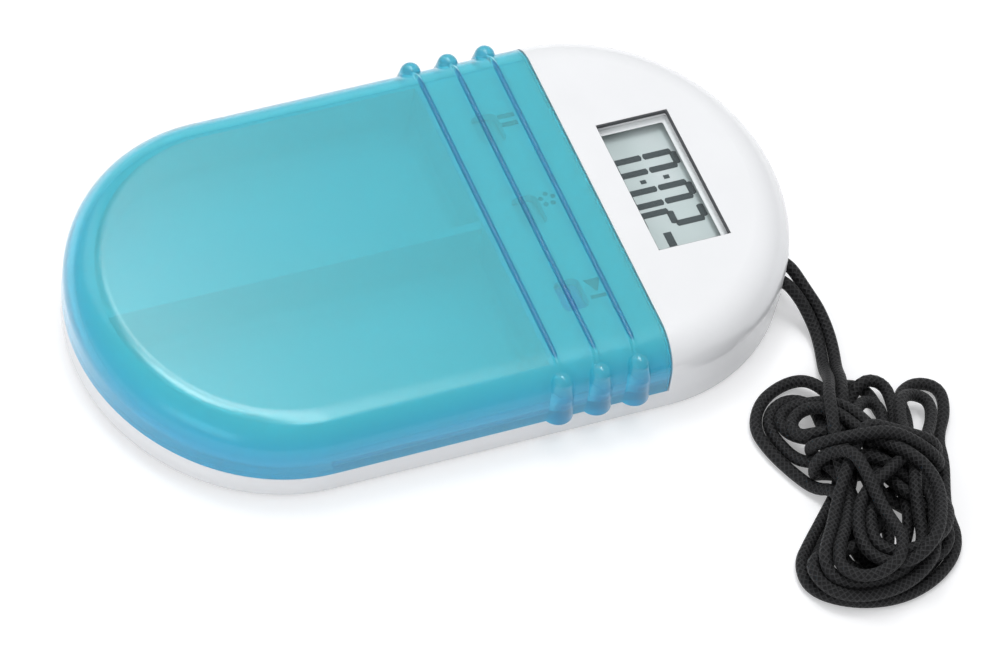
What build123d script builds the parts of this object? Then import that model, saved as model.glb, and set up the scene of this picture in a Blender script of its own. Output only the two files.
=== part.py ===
from build123d import *
import os
from math import atan2, cos, degrees, pi, radians, sin, sqrt, tan

# Pocket pill box with a countdown timer, in millimetres.
# +Y points at the display end, +Z up, origin on the table under the middle of the body.
os.makedirs("parts", exist_ok=True)

# ---- Driving dimensions -----------------------------------------------------
# Body outline: straight sides between two half-elliptical ends
body_length = 97.0
body_width = 56.0
end_depth = 25.2
body_height = 12.0
top_round = 5.0
shell_wall = 1.3

# Base tray
base_height = 3.7
base_inset = 0.2
base_round = 0.8
base_floor = 1.2

# Catch that hooks the housing into the base at the far end
catch_width = 8.0
catch_reach = 0.6
catch_low = 2.2
catch_high = 3.0

# Sliding lid
display_end_length = 26.1
lid_wall = 1.3
lid_gap = 0.3
lid_travel = 40.0
lip_height = 0.9
lip_reach = 0.8
hook_length = 3.0
hook_reach = 0.4
hook_catch = 0.2
stop_block_length = 2.0
rib_setback = 4.4
rib_pitch = 5.3
rib_count = 3
rib_radius = 0.45
rib_stand = 0.3
grip_radius = 2.1
grip_taper = 0.2
grip_stand = 1.15
grip_drop = 0.45
grip_neck_height = 3.5
grip_dome_radius = 1.4

# Pill compartments
key_bay_length = 14.4
compartment_wall = 1.2
compartment_round = 1.5
divider_wall = 1.2
divider_drop = 0.5
tray_floor = 1.2

# Circuit board
board_rise = 0.8
board_thickness = 0.8
board_gap = 0.5
board_low_gap = 1.0
board_end_distance = 9.3

# Display stack, from the window down
display_x = 0.8
display_end_distance = 16.5
display_side_room = 17.0
window_width = 10.2
lens_border = 1.2
lens_thickness = 0.6
gasket_thickness = 0.6
polarizer_thickness = 0.2
glass_border = (1.0, 0.7)
glass_thickness = 1.7
strip_width = 1.6
holder_wall = 0.8
fit_gap = 0.1

# Keys under the lid
key_side_distance = 13.5
key_setback = 5.6
key_length = 4.6
key_width = 3.2
key_round = 0.8
key_gap = 0.2
key_travel = 0.6
key_drop = 1.1
flange_extra = 0.7
flange_room_share = 0.2
flange_gap_share = 0.1
stem_radius = 1.2
stem_gap = 0.3
collar_wall = 0.8
collar_gap = 0.2
collar_mat_ratio = 1.6
mat_border = 1.0

# Coin cell and its twist cap
cell_x = 5.5
cell_end_distance = 21.0
cell_radius = 10.0
cell_height = 3.2
cell_gap = 0.3
cell_step_share = 0.85
cell_step_height = 0.4
cap_flange = 1.0
cap_wall = 0.9
cap_gap = 0.2
cap_ring_top = 3.2
tab_thickness = 0.7
tab_reach = 1.1
tab_angle = 24.0
tab_count = 3
cap_turn = 45.0
ledge_overlap = 1.2
ledge_bottom = 1.2
stop_angle = 6.0
stop_clearance = 2.0
bay_wall = 1.1
coin_slot_length = 12.0
coin_slot_width = 1.6
coin_slot_depth = 0.6
contact_thickness = 0.3
contact_width = 3.0
leaf_length = 9.0
leaf_foot = 2.5

# Buzzer
buzzer_side_gap = 0.9
buzzer_screw_gap = 0.2
buzzer_plate = 0.2
ceramic_border = 1.8
ceramic_thickness = 0.2
buzzer_seat_height = 0.6
buzzer_seat_wall = 0.6
sound_hole_radius = 0.5
sound_hole_pitch = 2.2
spring_radius = 0.9
spring_wire = 0.3
spring_turns = 4

# Board parts
chip_radius = 3.9
chip_height = 0.8
chip_round = 0.72
crystal_side_distance = 9.4
crystal_end_distance = 21.5
crystal_radius = 1.0
crystal_length = 6.0
passive_side_distance = 11.0
passive_end_distance = 25.0
passive_pitch = 2.4
passive_count = 3
passive_size = (2.0, 1.25, 0.6)

# Screws
screw_radius = 1.0
screw_head_radius = 1.9
screw_head_height = 1.1
screw_length = 6.0
screw_head_recess = 1.5
screw_boss_radius = 2.3
cross_length_share = 1.4
cross_width_share = 0.25
pad_height = 2.9
pad_radius = 2.9
deck_screw_side_distance = 7.2
deck_screw_setback = 3.6
end_screw_width_share = 0.55
end_screw_end_distance = 14.5
board_screw_radius = 0.8
board_screw_head_radius = 1.6
board_screw_head_height = 0.8
board_screw_length = 2.6
board_boss_radius = 1.9
board_screw_side_distance = 7.7
board_screw_setback = 3.2
end_board_screw_side_distance = 10.6
end_board_screw_end_distance = 14.0
thread_gap = 0.05
hole_gap = 0.2

# Cord eye in the rounded end
eye_x = 15.5
eye_z = 6.0
eye_pin_radius = 0.7
eye_pin_depth = 1.7
eye_pin_seat = 0.5
eye_height = 2.6
eye_wall = 1.0
eye_side_gap = 0.2

# Neck cord
cord_radius = 0.8
cord_bend_share = 0.45
pin_clearance = 0.1
hank_round = 1.5

# ---- Derived positions ------------------------------------------------------
half_width = body_width / 2
half_length = body_length / 2
straight_half = half_length - end_depth
lid_bottom = base_height + lid_gap
neck_inset = lid_wall + lid_gap
neck_bottom = lid_bottom + lip_height + lid_gap
deck_top = body_height - neck_inset
deck_underside = deck_top - shell_wall
skirt_inset = lid_wall + lip_reach + hook_reach + lid_gap
skirt_bottom = base_floor + lid_gap
wall_inset = skirt_inset + compartment_wall
compartment_floor = skirt_bottom + tray_floor
base_inner_inset = skirt_inset - lid_gap
seam_y = half_length - display_end_length
end_shell_y = seam_y + lid_gap
rib_places = [seam_y - rib_setback - rib * rib_pitch for rib in range(rib_count)]
grip_top = body_height - grip_drop
board_cavity_low_y = seam_y - key_bay_length
compartment_end_y = board_cavity_low_y - compartment_wall
cover_underside = body_height - shell_wall
divider_top = deck_top - divider_drop
cell_y = half_length - cell_end_distance
cell_bottom = cap_flange + cell_gap
cell_top = cell_bottom + cell_height
board_bottom = cell_top + board_rise
board_top = board_bottom + board_thickness
board_inset = wall_inset + board_gap

display_y = half_length - display_end_distance
window_length = body_width - 2 * display_side_room
glass_length = window_length + 2 * glass_border[0]
glass_width = window_width + 2 * glass_border[1]
strip_length = window_length
lens_bottom = cover_underside - lens_thickness
gasket_bottom = lens_bottom - gasket_thickness
polarizer_bottom = gasket_bottom - polarizer_thickness
glass_bottom = polarizer_bottom - glass_thickness
lens_length = window_length + 2 * lens_border
lens_width = window_width + 2 * lens_border
holder_length = glass_length + 2 * fit_gap + 2 * holder_wall
holder_width = glass_width + 2 * fit_gap + 2 * holder_wall
strip_offset = glass_width / 2 - strip_width / 2

key_y = board_cavity_low_y + key_setback
key_pitch = half_width - key_side_distance
key_places = [(side * key_pitch, key_y) for side in (-1, 0, 1)]
key_room = deck_underside - board_top
flange_gap = flange_gap_share * key_room
flange_top = deck_underside - flange_gap
flange_bottom = flange_top - flange_room_share * key_room
collar_top = flange_bottom - key_travel - collar_gap
mat_top = board_top + (collar_top - board_top) / (1 + collar_mat_ratio)
stem_bottom = board_top + key_travel + flange_gap

cup_radius = cell_radius + cell_gap
cap_ring_radius = cup_radius + cap_wall
tab_radius = cap_ring_radius + tab_reach
bay_bore_radius = cap_ring_radius + cap_gap
flange_radius = bay_bore_radius + ledge_overlap
bay_recess_radius = flange_radius + cap_gap
bay_radius = bay_recess_radius + bay_wall
tab_bottom = cap_ring_top - tab_thickness
bay_top = tab_bottom - cap_gap

deck_screw_x = half_width - deck_screw_side_distance
deck_screw_y = board_cavity_low_y + deck_screw_setback
deck_screw_places = [(-deck_screw_x, deck_screw_y), (deck_screw_x, deck_screw_y)]
end_screw_y = half_length - end_screw_end_distance
end_screw_places = [(-end_screw_width_share * half_width, end_screw_y)]
housing_screw_places = deck_screw_places + end_screw_places
board_screw_x = half_width - board_screw_side_distance
board_screw_y = seam_y - board_screw_setback
deck_board_screws = [(-board_screw_x, board_screw_y), (board_screw_x, board_screw_y)]
end_board_screws = [
    (half_width - end_board_screw_side_distance, half_length - end_board_screw_end_distance)
]
far = 2 * body_length

buzzer_low_x = wall_inset - half_width + buzzer_side_gap
buzzer_high_x = cell_x - bay_radius - buzzer_side_gap
seat_radius = (buzzer_high_x - buzzer_low_x) / 2
buzzer_radius = seat_radius - buzzer_seat_wall - fit_gap
buzzer_x = (buzzer_low_x + buzzer_high_x) / 2
buzzer_y = end_screw_y - pad_radius - buzzer_screw_gap - seat_radius
ceramic_radius = buzzer_radius - ceramic_border
piezo_bottom = base_floor + buzzer_seat_height
piezo_top = piezo_bottom + buzzer_plate

# Cord eye frame: x points straight out of the wall, y along it, z up
eye_y = straight_half + end_depth * sqrt(1 - (eye_x / half_width) ** 2)
eye_angle = degrees(atan2((eye_y - straight_half) / end_depth**2, eye_x / half_width**2))
eye_plane = Plane(
    origin=(eye_x, eye_y, eye_z),
    x_dir=(cos(radians(eye_angle)), sin(radians(eye_angle)), 0),
    z_dir=(0, 0, 1),
)
turn_radius = eye_pin_radius + pin_clearance + cord_radius
eye_depth = eye_pin_depth + turn_radius + cord_radius + eye_side_gap
eye_width = 2 * (turn_radius + cord_radius + eye_side_gap)
eye_low = eye_z - eye_height / 2
eye_high = eye_z + eye_height / 2


# ---- Shared shapes ----------------------------------------------------------
def outline(inset):
    """Body outline seen from above, moved in by inset."""
    x_radius = half_width - inset
    y_radius = end_depth - inset
    with BuildSketch() as profile:
        with BuildLine():
            EllipticalCenterArc((0, straight_half), x_radius, y_radius, 0, arc_size=180)
            Line((-x_radius, straight_half), (-x_radius, -straight_half))
            EllipticalCenterArc((0, -straight_half), x_radius, y_radius, 180, arc_size=180)
            Line((x_radius, -straight_half), (x_radius, straight_half))
        make_face()
    return profile.sketch


def prism(inset, low, high):
    """The outline as a straight-sided block between two heights."""
    with BuildPart() as block:
        with BuildSketch(Plane.XY.offset(low)):
            add(outline(inset))
        extrude(amount=high - low)
    return block.part


def rounded_body(inset, low):
    """The whole body shrunk evenly by inset, with its rounded top edge."""
    with BuildPart() as block:
        add(prism(inset, low, body_height - inset))
        fillet(block.edges().group_by(Axis.Z)[-1], top_round - inset)
    return block.part


def between(solid, low_y, high_y):
    """The stretch of a solid between two places along the body."""
    with BuildPart() as stretch:
        add(solid)
        with Locations((0, (low_y + high_y) / 2, 0)):
            Box(2 * body_width, high_y - low_y, 4 * body_height, mode=Mode.INTERSECT)
    return stretch.part


def disc(places, radius, low, high):
    """Upright round blocks at the given places."""
    with BuildPart() as discs:
        with BuildSketch(Plane.XY.offset(low)):
            with Locations(*places):
                Circle(radius)
        extrude(amount=high - low)
    return discs.part


def plate(x, y, length, width, low, high):
    """Upright rectangular block centred on x, y."""
    with BuildPart() as block:
        with BuildSketch(Plane.XY.offset(low)):
            with Locations((x, y)):
                Rectangle(length, width)
        extrude(amount=high - low)
    return block.part


def save(part, name):
    """Label a finished piece and write it."""
    part.label = name
    export_step(part, f"parts/{name}.step")


# ---- Sliding lid ------------------------------------------------------------
rib_depth = rib_radius - rib_stand


def rib(y):
    """Thin round rib that runs up one side, over the top and down the other."""
    side_x = half_width - rib_depth
    top_z = body_height - rib_depth
    with BuildPart() as bead:
        with BuildLine(Plane.XZ.offset(-y)):
            route = FilletPolyline(
                (side_x, lid_bottom),
                (side_x, top_z),
                (-side_x, top_z),
                (-side_x, lid_bottom),
                radius=top_round - rib_depth,
            )
        with BuildSketch(Plane(origin=route @ 0, z_dir=route % 0)):
            Circle(rib_radius)
        sweep()
    return bead.part


def grip(side, y):
    """Round finger grip at the foot of a rib: flared foot, tapering neck and domed top."""
    centre_x = side * (half_width + grip_stand - grip_radius)
    neck_radius = grip_radius - grip_taper
    neck_low = grip_top - grip_neck_height
    neck_high = grip_top - grip_dome_radius
    seated = (Align.CENTER, Align.CENTER, Align.MIN)
    with BuildPart() as bump:
        with Locations((centre_x, y, lid_bottom)):
            Cone(grip_radius, neck_radius, neck_low - lid_bottom, align=seated)
        with Locations((centre_x, y, neck_low)):
            Cone(neck_radius, grip_dome_radius, neck_high - neck_low, align=seated)
        with Locations((centre_x, y, neck_high)):
            Sphere(grip_dome_radius)
    return bump.part


lip_inner = half_width - lid_wall - lip_reach
hook_inner = lip_inner - hook_reach
with BuildPart() as sliding_lid:
    add(between(rounded_body(0, lid_bottom), -far, seam_y))
    for rib_y in rib_places:
        add(rib(rib_y))
        for side in (-1, 1):
            add(grip(side, rib_y))
    add(rounded_body(lid_wall, 0), mode=Mode.SUBTRACT)
    for side in (-1, 1):
        lip_outer = half_width - lid_wall / 2
        add(
            plate(
                side * (lip_inner + lip_outer) / 2,
                (seam_y - straight_half) / 2,
                lip_outer - lip_inner,
                seam_y + straight_half,
                lid_bottom,
                lid_bottom + lip_height,
            )
        )
        add(
            plate(
                side * (hook_inner + lip_outer) / 2,
                seam_y - hook_length / 2,
                lip_outer - hook_inner,
                hook_length,
                lid_bottom,
                lid_bottom + lip_height,
            )
        )
save(sliding_lid.part, "sliding_lid")


# ---- Upper housing ----------------------------------------------------------
def compartment(side):
    """Pill compartment on one side of the divider, with a rounded floor edge."""
    with BuildPart() as pocket:
        add(between(prism(wall_inset, compartment_floor, body_height), -far, compartment_end_y))
        with Locations((side * (divider_wall / 2 + body_width / 2), 0, 0)):
            Box(body_width, far, 4 * body_height, mode=Mode.INTERSECT)
        fillet(pocket.edges().group_by(Axis.Z)[0], compartment_round)
    return pocket.part


def eye_block(length, width, low, high):
    """Block that reaches in from the wall at the cord eye."""
    with BuildPart() as block:
        with BuildSketch(eye_plane.offset(low - eye_z)):
            with Locations((-length / 2, 0)):
                Rectangle(length, width)
        extrude(amount=high - low)
    return block.part


def eye_housing():
    """Walls round the cord eye, trimmed to the outside of the body."""
    with BuildPart() as walls:
        add(
            eye_block(
                eye_depth + eye_wall,
                eye_width + 2 * eye_wall,
                eye_low - eye_wall,
                cover_underside,
            )
        )
        add(rounded_body(shell_wall / 2, 0), mode=Mode.INTERSECT)
    return walls.part


stop_block_y = seam_y - hook_length - lid_travel - lid_gap
catch_root_y = -half_length + wall_inset
catch_tip_y = -half_length + skirt_inset - catch_reach

with BuildPart() as upper_housing:
    add(prism(skirt_inset, skirt_bottom, neck_bottom))
    add(rounded_body(neck_inset, neck_bottom))
    add(between(rounded_body(0, base_height), end_shell_y, far))
    # room for the electronics under the deck and under the display cover
    add(
        between(prism(wall_inset, 0, deck_underside), board_cavity_low_y, far),
        mode=Mode.SUBTRACT,
    )
    add(
        between(rounded_body(shell_wall, neck_bottom), end_shell_y + shell_wall, far),
        mode=Mode.SUBTRACT,
    )
    # pill compartments, with the divider a little below the deck
    for side in (-1, 1):
        add(compartment(side), mode=Mode.SUBTRACT)
    add(
        between(
            prism(wall_inset, divider_top, body_height),
            -far,
            compartment_end_y,
        ),
        mode=Mode.SUBTRACT,
    )
    # key openings and display window
    with BuildSketch(Plane.XY.offset(deck_underside)):
        with Locations(*key_places):
            RectangleRounded(
                key_length + 2 * key_gap, key_width + 2 * key_gap, key_round + key_gap
            )
    extrude(amount=2 * shell_wall, mode=Mode.SUBTRACT)
    add(
        plate(display_x, display_y, window_length, window_width, cover_underside, body_height),
        mode=Mode.SUBTRACT,
    )
    # bosses for the housing screws and the board screws
    add(disc(deck_screw_places, screw_boss_radius, pad_height, deck_underside))
    add(disc(end_screw_places, screw_boss_radius, pad_height, cover_underside))
    add(disc(deck_board_screws, board_boss_radius, board_top, deck_underside))
    add(disc(end_board_screws, board_boss_radius, board_top, cover_underside))
    add(
        disc(
            housing_screw_places,
            screw_radius + thread_gap,
            pad_height,
            screw_head_recess + screw_length + 2 * thread_gap,
        ),
        mode=Mode.SUBTRACT,
    )
    add(
        disc(
            deck_board_screws + end_board_screws,
            board_screw_radius + thread_gap,
            board_top,
            board_bottom + board_screw_length + 2 * thread_gap,
        ),
        mode=Mode.SUBTRACT,
    )
    # cord eye: a pocket in the end wall with its own walls and holes for the pin
    add(eye_housing())
    add(
        eye_block(eye_depth, eye_width, eye_low, eye_high),
        mode=Mode.SUBTRACT,
    )
    with BuildSketch(eye_plane.offset(eye_low - eye_pin_seat - eye_z)):
        with Locations((-eye_pin_depth, 0)):
            Circle(eye_pin_radius + thread_gap)
    extrude(amount=eye_height + 2 * eye_pin_seat, mode=Mode.SUBTRACT)
    # blocks that stop the lid's hooks, and the catch at the far end
    for side in (-1, 1):
        block_outer = hook_inner + hook_catch
        block_inner = half_width - wall_inset
        add(
            plate(
                side * (block_inner + block_outer) / 2,
                stop_block_y - stop_block_length / 2,
                block_outer - block_inner,
                stop_block_length,
                lid_bottom,
                neck_bottom,
            )
        )
    add(
        plate(
            0,
            (catch_root_y + catch_tip_y) / 2,
            catch_width,
            catch_root_y - catch_tip_y,
            catch_low,
            catch_high,
        )
    )
save(upper_housing.part, "upper_housing")

# ---- Base -------------------------------------------------------------------
sound_hole_places = [(buzzer_x, buzzer_y)]
for hole in range(4):
    hole_turn = radians(90 * hole)
    sound_hole_places.append(
        (
            buzzer_x + sound_hole_pitch * cos(hole_turn),
            buzzer_y + sound_hole_pitch * sin(hole_turn),
        )
    )


def ring_sector(outer, inner, start, sweep_angle, low, high):
    """Part of a ring round the coin cell's axis."""
    with BuildPart() as sector:
        with BuildSketch(Plane.XY.offset(low)):
            with BuildLine():
                arc_out = CenterArc((cell_x, cell_y), outer, start, sweep_angle)
                arc_in = CenterArc((cell_x, cell_y), inner, start, sweep_angle)
                Line(arc_out @ 0, arc_in @ 0)
                Line(arc_out @ 1, arc_in @ 1)
            make_face()
        extrude(amount=high - low)
    return sector.part


tab_starts = [360 / tab_count * tab - tab_angle / 2 for tab in range(tab_count)]
pocket_tip_y = catch_tip_y - lid_gap
with BuildPart() as base_shell:
    add(prism(base_inset, 0, base_height))
    fillet(base_shell.edges().group_by(Axis.Z)[0], base_round)
    add(prism(base_inner_inset, base_floor, base_height), mode=Mode.SUBTRACT)
    # pocket for the housing's catch
    add(
        plate(
            0,
            (catch_root_y + pocket_tip_y) / 2,
            catch_width + 2 * lid_gap,
            catch_root_y - pocket_tip_y,
            catch_low - lid_gap,
            catch_high + lid_gap,
        ),
        mode=Mode.SUBTRACT,
    )
    # battery bay: a boss with a ledge that holds the cap's tabs
    add(disc([(cell_x, cell_y)], bay_radius, 0, bay_top))
    add(disc([(cell_x, cell_y)], bay_bore_radius, 0, bay_top), mode=Mode.SUBTRACT)
    add(disc([(cell_x, cell_y)], bay_recess_radius, 0, ledge_bottom), mode=Mode.SUBTRACT)
    for start in tab_starts:
        add(
            ring_sector(
                tab_radius + cap_gap,
                cap_ring_radius,
                start + cap_turn - stop_clearance,
                tab_angle + 2 * stop_clearance,
                0,
                bay_top,
            ),
            mode=Mode.SUBTRACT,
        )
        add(
            ring_sector(
                bay_radius - cap_gap,
                bay_bore_radius,
                start - stop_clearance - stop_angle,
                stop_angle,
                bay_top,
                cap_ring_top,
            )
        )
    # seat and sound holes of the buzzer
    add(
        disc(
            [(buzzer_x, buzzer_y)],
            seat_radius,
            base_floor,
            piezo_top,
        )
    )
    add(disc([(buzzer_x, buzzer_y)], buzzer_radius + fit_gap, piezo_bottom, piezo_top), mode=Mode.SUBTRACT)
    add(
        disc([(buzzer_x, buzzer_y)], buzzer_radius - buzzer_seat_wall, base_floor, piezo_bottom),
        mode=Mode.SUBTRACT,
    )
    add(disc(sound_hole_places, sound_hole_radius, 0, base_floor), mode=Mode.SUBTRACT)
    # pads and holes for the housing screws
    add(disc(housing_screw_places, pad_radius, 0, pad_height))
    add(disc(housing_screw_places, screw_radius + hole_gap, 0, pad_height), mode=Mode.SUBTRACT)
    add(
        disc(housing_screw_places, screw_head_radius + hole_gap, 0, screw_head_recess),
        mode=Mode.SUBTRACT,
    )
save(base_shell.part, "base_shell")

# ---- Battery cap, cell and contacts -----------------------------------------
with BuildPart() as battery_cap:
    add(disc([(cell_x, cell_y)], flange_radius, 0, cap_flange))
    add(disc([(cell_x, cell_y)], cap_ring_radius, cap_flange, cap_ring_top))
    add(disc([(cell_x, cell_y)], cup_radius, cap_flange, cap_ring_top), mode=Mode.SUBTRACT)
    for start in tab_starts:
        add(
            ring_sector(
                tab_radius,
                cap_ring_radius - cap_wall / 2,
                start,
                tab_angle,
                tab_bottom,
                cap_ring_top,
            )
        )
    with BuildSketch(Plane.XY):
        with Locations((cell_x, cell_y)):
            SlotOverall(coin_slot_length, coin_slot_width)
    extrude(amount=coin_slot_depth, mode=Mode.SUBTRACT)
save(battery_cap.part, "battery_cap")

cell_step_radius = cell_step_share * cell_radius
with BuildPart() as coin_cell:
    add(disc([(cell_x, cell_y)], cell_radius, cell_bottom, cell_top - cell_step_height))
    add(disc([(cell_x, cell_y)], cell_step_radius, cell_top - cell_step_height, cell_top))
    fillet(coin_cell.edges().group_by(Axis.Z)[0], cell_step_height)
save(coin_cell.part, "coin_cell")

# leaf that runs down from the board to the middle of the cell
with BuildPart() as battery_contact_negative:
    with BuildSketch(Plane.XZ.offset(-cell_y)):
        with BuildLine():
            Polyline(
                (cell_x - leaf_length, board_bottom),
                (cell_x - leaf_length, board_bottom - contact_thickness),
                (cell_x - leaf_length + leaf_foot, board_bottom - contact_thickness),
                (cell_x - contact_width / 2, cell_top),
                (cell_x + contact_width / 2, cell_top),
                (cell_x + contact_width / 2, cell_top + contact_thickness),
                (cell_x - contact_width / 2, cell_top + contact_thickness),
                (cell_x - leaf_length + leaf_foot, board_bottom),
                close=True,
            )
        make_face()
    extrude(amount=contact_width / 2, both=True)
save(battery_contact_negative.part, "battery_contact_negative")

# spring that hangs from the board against the side of the cell
side_contact_bottom = cap_ring_top + cell_gap
with BuildPart() as battery_contact_positive:
    with BuildSketch(Plane.XZ.offset(-cell_y)):
        with BuildLine():
            side_x = cell_x + cell_radius
            Polyline(
                (side_x, side_contact_bottom),
                (side_x + contact_thickness, side_contact_bottom),
                (side_x + contact_thickness, board_bottom - contact_thickness),
                (side_x + contact_thickness + leaf_foot, board_bottom - contact_thickness),
                (side_x + contact_thickness + leaf_foot, board_bottom),
                (side_x, board_bottom),
                close=True,
            )
        make_face()
    extrude(amount=contact_width / 2, both=True)
save(battery_contact_positive.part, "battery_contact_positive")

# ---- Circuit board and its parts --------------------------------------------
with BuildPart() as circuit_board:
    add(
        between(
            prism(board_inset, board_bottom, board_top),
            board_cavity_low_y + board_low_gap,
            half_length - board_end_distance,
        )
    )
    # both corners are cut back from the deck's screw bosses
    notch_x = deck_screw_x - screw_boss_radius - board_gap
    notch_y = deck_screw_y + screw_boss_radius + board_gap
    for side in (-1, 1):
        add(
            plate(
                side * (notch_x + half_width) / 2,
                (notch_y + board_cavity_low_y) / 2,
                half_width - notch_x,
                notch_y - board_cavity_low_y,
                board_bottom,
                board_top,
            ),
            mode=Mode.SUBTRACT,
        )
    add(
        eye_block(
            eye_depth + eye_wall + board_gap,
            eye_width + 2 * (eye_wall + board_gap),
            0,
            body_height,
        ),
        mode=Mode.SUBTRACT,
    )
    add(
        disc(end_screw_places, screw_boss_radius + board_gap, board_bottom, board_top),
        mode=Mode.SUBTRACT,
    )
    add(
        disc(
            deck_board_screws + end_board_screws,
            board_screw_radius + hole_gap,
            board_bottom,
            board_top,
        ),
        mode=Mode.SUBTRACT,
    )
save(circuit_board.part, "circuit_board")

with BuildPart() as controller_chip:
    add(disc([(0, key_y)], chip_radius, board_bottom - chip_height, board_bottom))
    fillet(controller_chip.edges().group_by(Axis.Z)[0], chip_round)
save(controller_chip.part, "controller_chip")

crystal_low_y = half_length - crystal_end_distance - crystal_length / 2
with BuildPart() as crystal_can:
    with BuildSketch(Plane.XZ.offset(-crystal_low_y)):
        with Locations((half_width - crystal_side_distance, board_top + crystal_radius)):
            Circle(crystal_radius)
    extrude(amount=-crystal_length)
save(crystal_can.part, "crystal_can")

passive_x = passive_side_distance - half_width
passive_low_y = half_length - passive_end_distance
with BuildPart() as chip_passives:
    for passive in range(passive_count):
        with Locations((passive_x, passive_low_y + passive * passive_pitch, board_top)):
            Box(*passive_size, align=(Align.CENTER, Align.CENTER, Align.MIN))
save(chip_passives.part, "chip_passives")

# ---- Buzzer -----------------------------------------------------------------
with BuildPart() as piezo_plate:
    add(disc([(buzzer_x, buzzer_y)], buzzer_radius, piezo_bottom, piezo_top))
save(piezo_plate.part, "piezo_plate")

with BuildPart() as piezo_ceramic:
    add(disc([(buzzer_x, buzzer_y)], ceramic_radius, piezo_top, piezo_top + ceramic_thickness))
save(piezo_ceramic.part, "piezo_ceramic")


def coil_spring(x, y, low, high):
    """Small spring between a buzzer surface and the board."""
    height = high - low - spring_wire
    with BuildPart() as spring:
        with BuildLine():
            route = Helix(
                height / spring_turns,
                height,
                spring_radius,
                center=(x, y, low + spring_wire / 2),
            )
        with BuildSketch(Plane(origin=route @ 0, z_dir=route % 0)):
            Circle(spring_wire / 2)
        sweep(is_frenet=True)
    return spring.part


plate_spring_y = buzzer_y - (buzzer_radius + ceramic_radius) / 2
with BuildPart() as buzzer_springs:
    add(coil_spring(buzzer_x, buzzer_y, piezo_top + ceramic_thickness, board_bottom))
    add(coil_spring(buzzer_x, plate_spring_y - spring_radius / 2, piezo_top, board_bottom))
save(buzzer_springs.part, "buzzer_springs")

# ---- Display ----------------------------------------------------------------
with BuildPart() as display_lens:
    add(plate(display_x, display_y, lens_length, lens_width, lens_bottom, cover_underside))
save(display_lens.part, "display_lens")

with BuildPart() as display_gasket:
    add(plate(display_x, display_y, lens_length, lens_width, gasket_bottom, lens_bottom))
    add(
        plate(display_x, display_y, window_length, window_width, gasket_bottom, lens_bottom),
        mode=Mode.SUBTRACT,
    )
save(display_gasket.part, "display_gasket")

with BuildPart() as front_polarizer:
    add(plate(display_x, display_y, glass_length, glass_width, polarizer_bottom, gasket_bottom))
save(front_polarizer.part, "front_polarizer")

with BuildPart() as lcd_glass:
    add(plate(display_x, display_y, glass_length, glass_width, glass_bottom, polarizer_bottom))
save(lcd_glass.part, "lcd_glass")

with BuildPart() as rear_reflector:
    add(
        plate(
            display_x,
            display_y,
            strip_length,
            2 * (strip_offset - strip_width / 2 - fit_gap),
            glass_bottom - polarizer_thickness,
            glass_bottom,
        )
    )
save(rear_reflector.part, "rear_reflector")

with BuildPart() as contact_strips:
    for side in (-1, 1):
        add(
            plate(
                display_x,
                display_y + side * strip_offset,
                strip_length,
                strip_width,
                board_top,
                glass_bottom,
            )
        )
save(contact_strips.part, "contact_strips")

with BuildPart() as display_holder:
    add(plate(display_x, display_y, holder_length, holder_width, board_top, polarizer_bottom))
    add(
        plate(
            display_x,
            display_y,
            glass_length + 2 * fit_gap,
            glass_width + 2 * fit_gap,
            board_top,
            polarizer_bottom,
        ),
        mode=Mode.SUBTRACT,
    )
save(display_holder.part, "display_holder")


# ---- Keys -------------------------------------------------------------------
def key(x):
    """Key cap with its flange under the deck and a stem above the board."""
    with BuildPart() as cap:
        with BuildSketch(Plane.XY.offset(flange_top)):
            with Locations((x, key_y)):
                RectangleRounded(key_length, key_width, key_round)
        extrude(amount=deck_top - key_drop - flange_top)
        fillet(cap.edges().group_by(Axis.Z)[-1], key_gap)
        with BuildSketch(Plane.XY.offset(flange_bottom)):
            with Locations((x, key_y)):
                RectangleRounded(
                    key_length + 2 * flange_extra, key_width + 2 * flange_extra, key_round
                )
        extrude(amount=flange_top - flange_bottom)
        add(disc([(x, key_y)], stem_radius, stem_bottom, flange_bottom))
    return cap.part


for key_place, key_name in zip(key_places, ("hour_button", "minute_button", "start_button")):
    save(key(key_place[0]), key_name)

with BuildPart() as key_mat:
    collar_radius = stem_radius + stem_gap + collar_wall
    add(
        plate(
            0,
            key_y,
            2 * (key_pitch + collar_radius + mat_border - collar_wall),
            2 * (collar_radius + mat_border - collar_wall),
            board_top,
            mat_top,
        )
    )
    add(disc(key_places, collar_radius, mat_top, collar_top))
    add(disc(key_places, stem_radius + stem_gap, board_top, collar_top), mode=Mode.SUBTRACT)
save(key_mat.part, "key_mat")


# ---- Screws and pin ---------------------------------------------------------
def screws(places, shank_radius, head_radius, head_height, head_top, length):
    """Pan-head screws driven upwards, with their heads below head_top."""
    cross_length = cross_length_share * head_radius
    cross_width = cross_width_share * head_radius
    with BuildPart() as group:
        for place in places:
            add(disc([place], head_radius, head_top - head_height, head_top))
            add(disc([place], shank_radius, head_top, head_top + length))
            with BuildSketch(Plane.XY.offset(head_top - head_height)):
                with Locations(place):
                    Rectangle(cross_length, cross_width)
                    Rectangle(cross_width, cross_length)
            extrude(amount=head_height / 2, mode=Mode.SUBTRACT)
    return group.part


save(
    screws(
        housing_screw_places,
        screw_radius,
        screw_head_radius,
        screw_head_height,
        screw_head_recess,
        screw_length,
    ),
    "housing_screws",
)
save(
    screws(
        deck_board_screws + end_board_screws,
        board_screw_radius,
        board_screw_head_radius,
        board_screw_head_height,
        board_bottom,
        board_screw_length,
    ),
    "board_screws",
)

with BuildPart() as cord_pin:
    with BuildSketch(eye_plane.offset(eye_low - eye_pin_seat - eye_z)):
        with Locations((-eye_pin_depth, 0)):
            Circle(eye_pin_radius)
    extrude(amount=eye_height + 2 * eye_pin_seat)
save(cord_pin.part, "cord_pin")

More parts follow.
